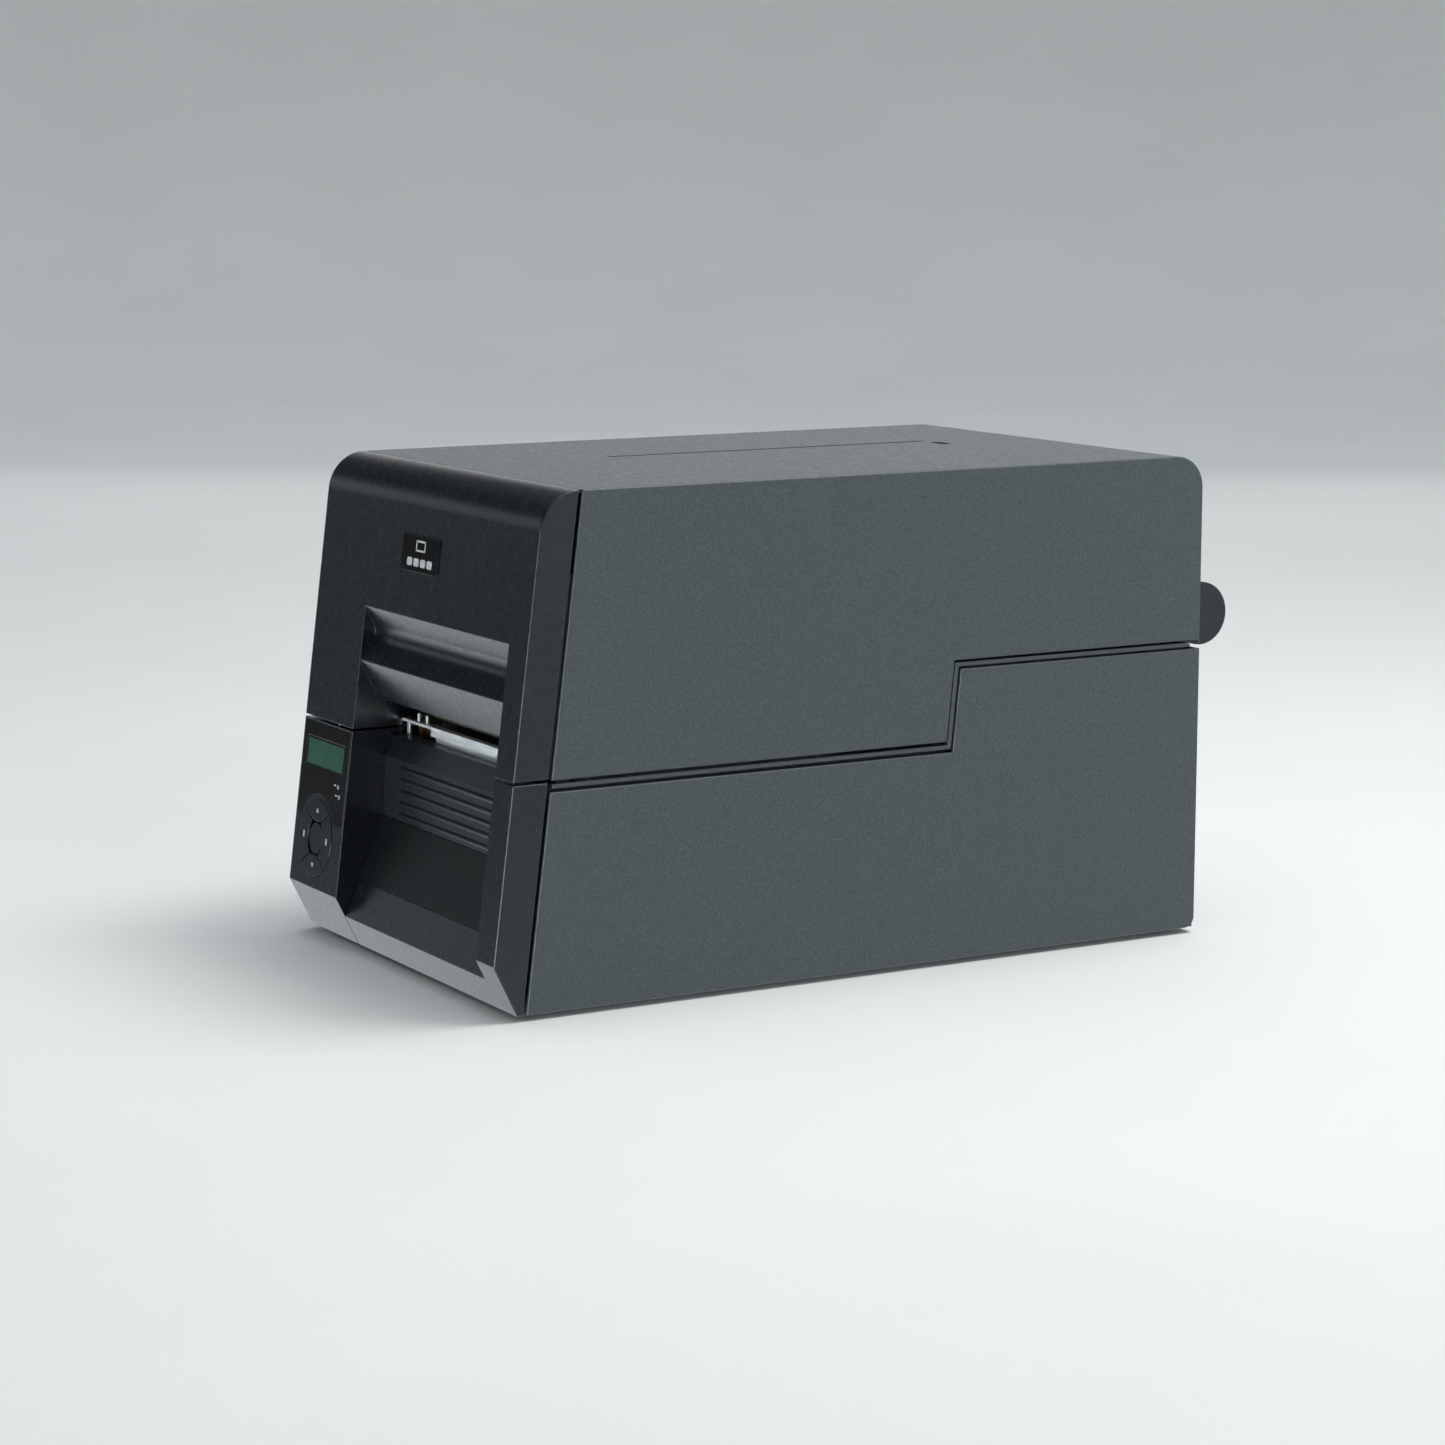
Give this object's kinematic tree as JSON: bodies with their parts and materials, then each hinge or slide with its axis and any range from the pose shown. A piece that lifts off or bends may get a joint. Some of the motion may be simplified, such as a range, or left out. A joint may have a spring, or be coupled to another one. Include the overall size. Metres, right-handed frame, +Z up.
{
  "type": "label printer",
  "caption": "Desktop label printer with a steel lift-up cover, a front label exit with a tear bar, and a display column with a round keypad.",
  "frame": {"origin": "centre of the bounding box's underside, on the plane of the feet", "axes": "-Y is the front with the label exit, +Y the rear with the sockets, +X the user's right, +Z up"},
  "size_m": [0.252, 0.444, 0.261],
  "materials": {
    "powder_steel": "dark blue-grey speckled powder coat",
    "moulded_dark": "dark satin moulded plastic",
    "chute_plastic": "dark grey satin plastic",
    "insert_plastic": "almost black plastic",
    "gloss_black": "gloss black plastic",
    "display_green": "dull green display, not lit",
    "key_plastic": "dark satin key tops",
    "light_pipe": "clear white light pipe",
    "steel": "bare plated steel",
    "black_steel": "black coated steel",
    "aluminium": "plain aluminium",
    "brass": "sintered brass",
    "rubber": "black rubber",
    "gear_plastic": "off-white acetal",
    "board_green": "green circuit board",
    "chip_black": "black component housings",
    "handle_blue": "blue release handle",
    "head_ceramic": "glazed print head block"
  },
  "bodies": {
    "base": {"base_pan": "black_steel", "lower_side_right": "powder_steel", "lower_side_left": "powder_steel", "side_frame_right": "powder_steel", "side_frame_left": "powder_steel", "lower_bezel": "moulded_dark", "control_column": "moulded_dark", "display_panel": "gloss_black", "display_glass": "display_green", "keypad_base": "key_plastic", "status_lights": "light_pipe", "control_board": "board_green", "ribbed_chute": "chute_plastic", "chute_insert": "insert_plastic", "tear_bar": "steel", "centre_wall": "steel", "right_plate": "steel", "platen_bushings": "brass", "head_pivot_rod": "steel", "idler_stud": "steel", "drive_motor": "aluminium", "main_board": "board_green", "board_parts": "chip_black", "power_supply": "aluminium", "power_inlet": "chip_black", "switch_frame": "chip_black", "data_ports": "steel", "bay_liner": "chute_plastic", "guide_rods": "steel", "hinge_brackets": "black_steel", "feet": "rubber", "bumpers": "rubber", "screws": "steel"},
    "cover": {"cover_bezel": "moulded_dark", "cover_top": "powder_steel", "cover_side_right": "powder_steel", "cover_side_left": "powder_steel", "cover_frame": "black_steel", "hinge_barrels": "moulded_dark", "badge": "gloss_black"},
    "platen": {"platen_shaft": "steel", "platen_rubber": "rubber", "platen_gear": "gear_plastic"},
    "idler": {"idler_gear": "gear_plastic"},
    "motor_shaft": {"motor_pinion": "brass"},
    "head": {"head_carrier": "steel", "print_head": "head_ceramic", "head_heatsink": "aluminium", "head_handle": "handle_blue"},
    "supply_spindle": {"ribbon_supply": "chip_black"},
    "takeup_spindle": {"ribbon_takeup": "chip_black"},
    "left_guide": {"guide_left": "chute_plastic"},
    "right_guide": {"guide_right": "chute_plastic"},
    "centring_pinion": {"guide_pinion": "gear_plastic"},
    "up_key": {"key_up": "key_plastic"},
    "down_key": {"key_down": "key_plastic"},
    "left_key": {"key_left": "key_plastic"},
    "right_key": {"key_right": "key_plastic"},
    "rocker": {"power_rocker": "chip_black"}
  },
  "joints": [
    {"name": "cover_lift", "type": "hinge", "parent": "base", "child": "cover", "pos_m": [0, 0.205, 0.1756], "axis": [-1, 0, 0], "range_deg": [0, 85]},
    {"name": "head_lift", "type": "hinge", "parent": "base", "child": "head", "pos_m": [0, -0.092, 0.152], "axis": [-1, 0, 0], "range_deg": [0, 20]},
    {"name": "platen_spin", "type": "hinge", "parent": "base", "child": "platen", "pos_m": [0, -0.164, 0.115], "axis": [1, 0, 0], "continuous": true},
    {"name": "idler_spin", "type": "hinge", "parent": "base", "child": "idler", "pos_m": [-0.075, -0.134, 0.09697], "axis": [1, 0, 0], "continuous": true},
    {"name": "motor_spin", "type": "hinge", "parent": "base", "child": "motor_shaft", "pos_m": [-0.075, -0.10772, 0.08472], "axis": [1, 0, 0], "continuous": true},
    {"name": "supply_spin", "type": "hinge", "parent": "base", "child": "supply_spindle", "pos_m": [0.0225, -0.06, 0.188], "axis": [1, 0, 0], "continuous": true},
    {"name": "takeup_spin", "type": "hinge", "parent": "base", "child": "takeup_spindle", "pos_m": [0.0225, -0.128, 0.208], "axis": [1, 0, 0], "continuous": true},
    {"name": "left_guide_slide", "type": "slide", "parent": "base", "child": "left_guide", "axis": [1, 0, 0], "range_m": [0, 0.045]},
    {"name": "right_guide_slide", "type": "slide", "parent": "base", "child": "right_guide", "axis": [-1, 0, 0], "range_m": [0, 0.045]},
    {"name": "centring_spin", "type": "hinge", "parent": "base", "child": "centring_pinion", "pos_m": [0.0225, 0.09, 0.0114], "axis": [0, 0, 1], "range_deg": [0, 260]},
    {"name": "up_key_press", "type": "slide", "parent": "base", "child": "up_key", "axis": [0, 0.9919, -0.127], "range_m": [0, 0.0008], "stiffness_N_per_m": 300},
    {"name": "down_key_press", "type": "slide", "parent": "base", "child": "down_key", "axis": [0, 0.9919, -0.127], "range_m": [0, 0.0008], "stiffness_N_per_m": 300},
    {"name": "left_key_press", "type": "slide", "parent": "base", "child": "left_key", "axis": [0, 0.9919, -0.127], "range_m": [0, 0.0008], "stiffness_N_per_m": 300},
    {"name": "right_key_press", "type": "slide", "parent": "base", "child": "right_key", "axis": [0, 0.9919, -0.127], "range_m": [0, 0.0008], "stiffness_N_per_m": 300},
    {"name": "rocker_tilt", "type": "hinge", "parent": "base", "child": "rocker", "pos_m": [-0.09, 0.201, 0.063], "axis": [1, 0, 0], "range_deg": [0, 12]}
  ],
  "couplings": [
    {"joint": "idler_spin", "follows": "platen_spin", "ratio": -0.75},
    {"joint": "motor_spin", "follows": "platen_spin", "ratio": 1.6667},
    {"joint": "right_guide_slide", "follows": "left_guide_slide", "ratio": 1},
    {"joint": "centring_spin", "follows": "left_guide_slide", "rad_per_m": 100}
  ]
}
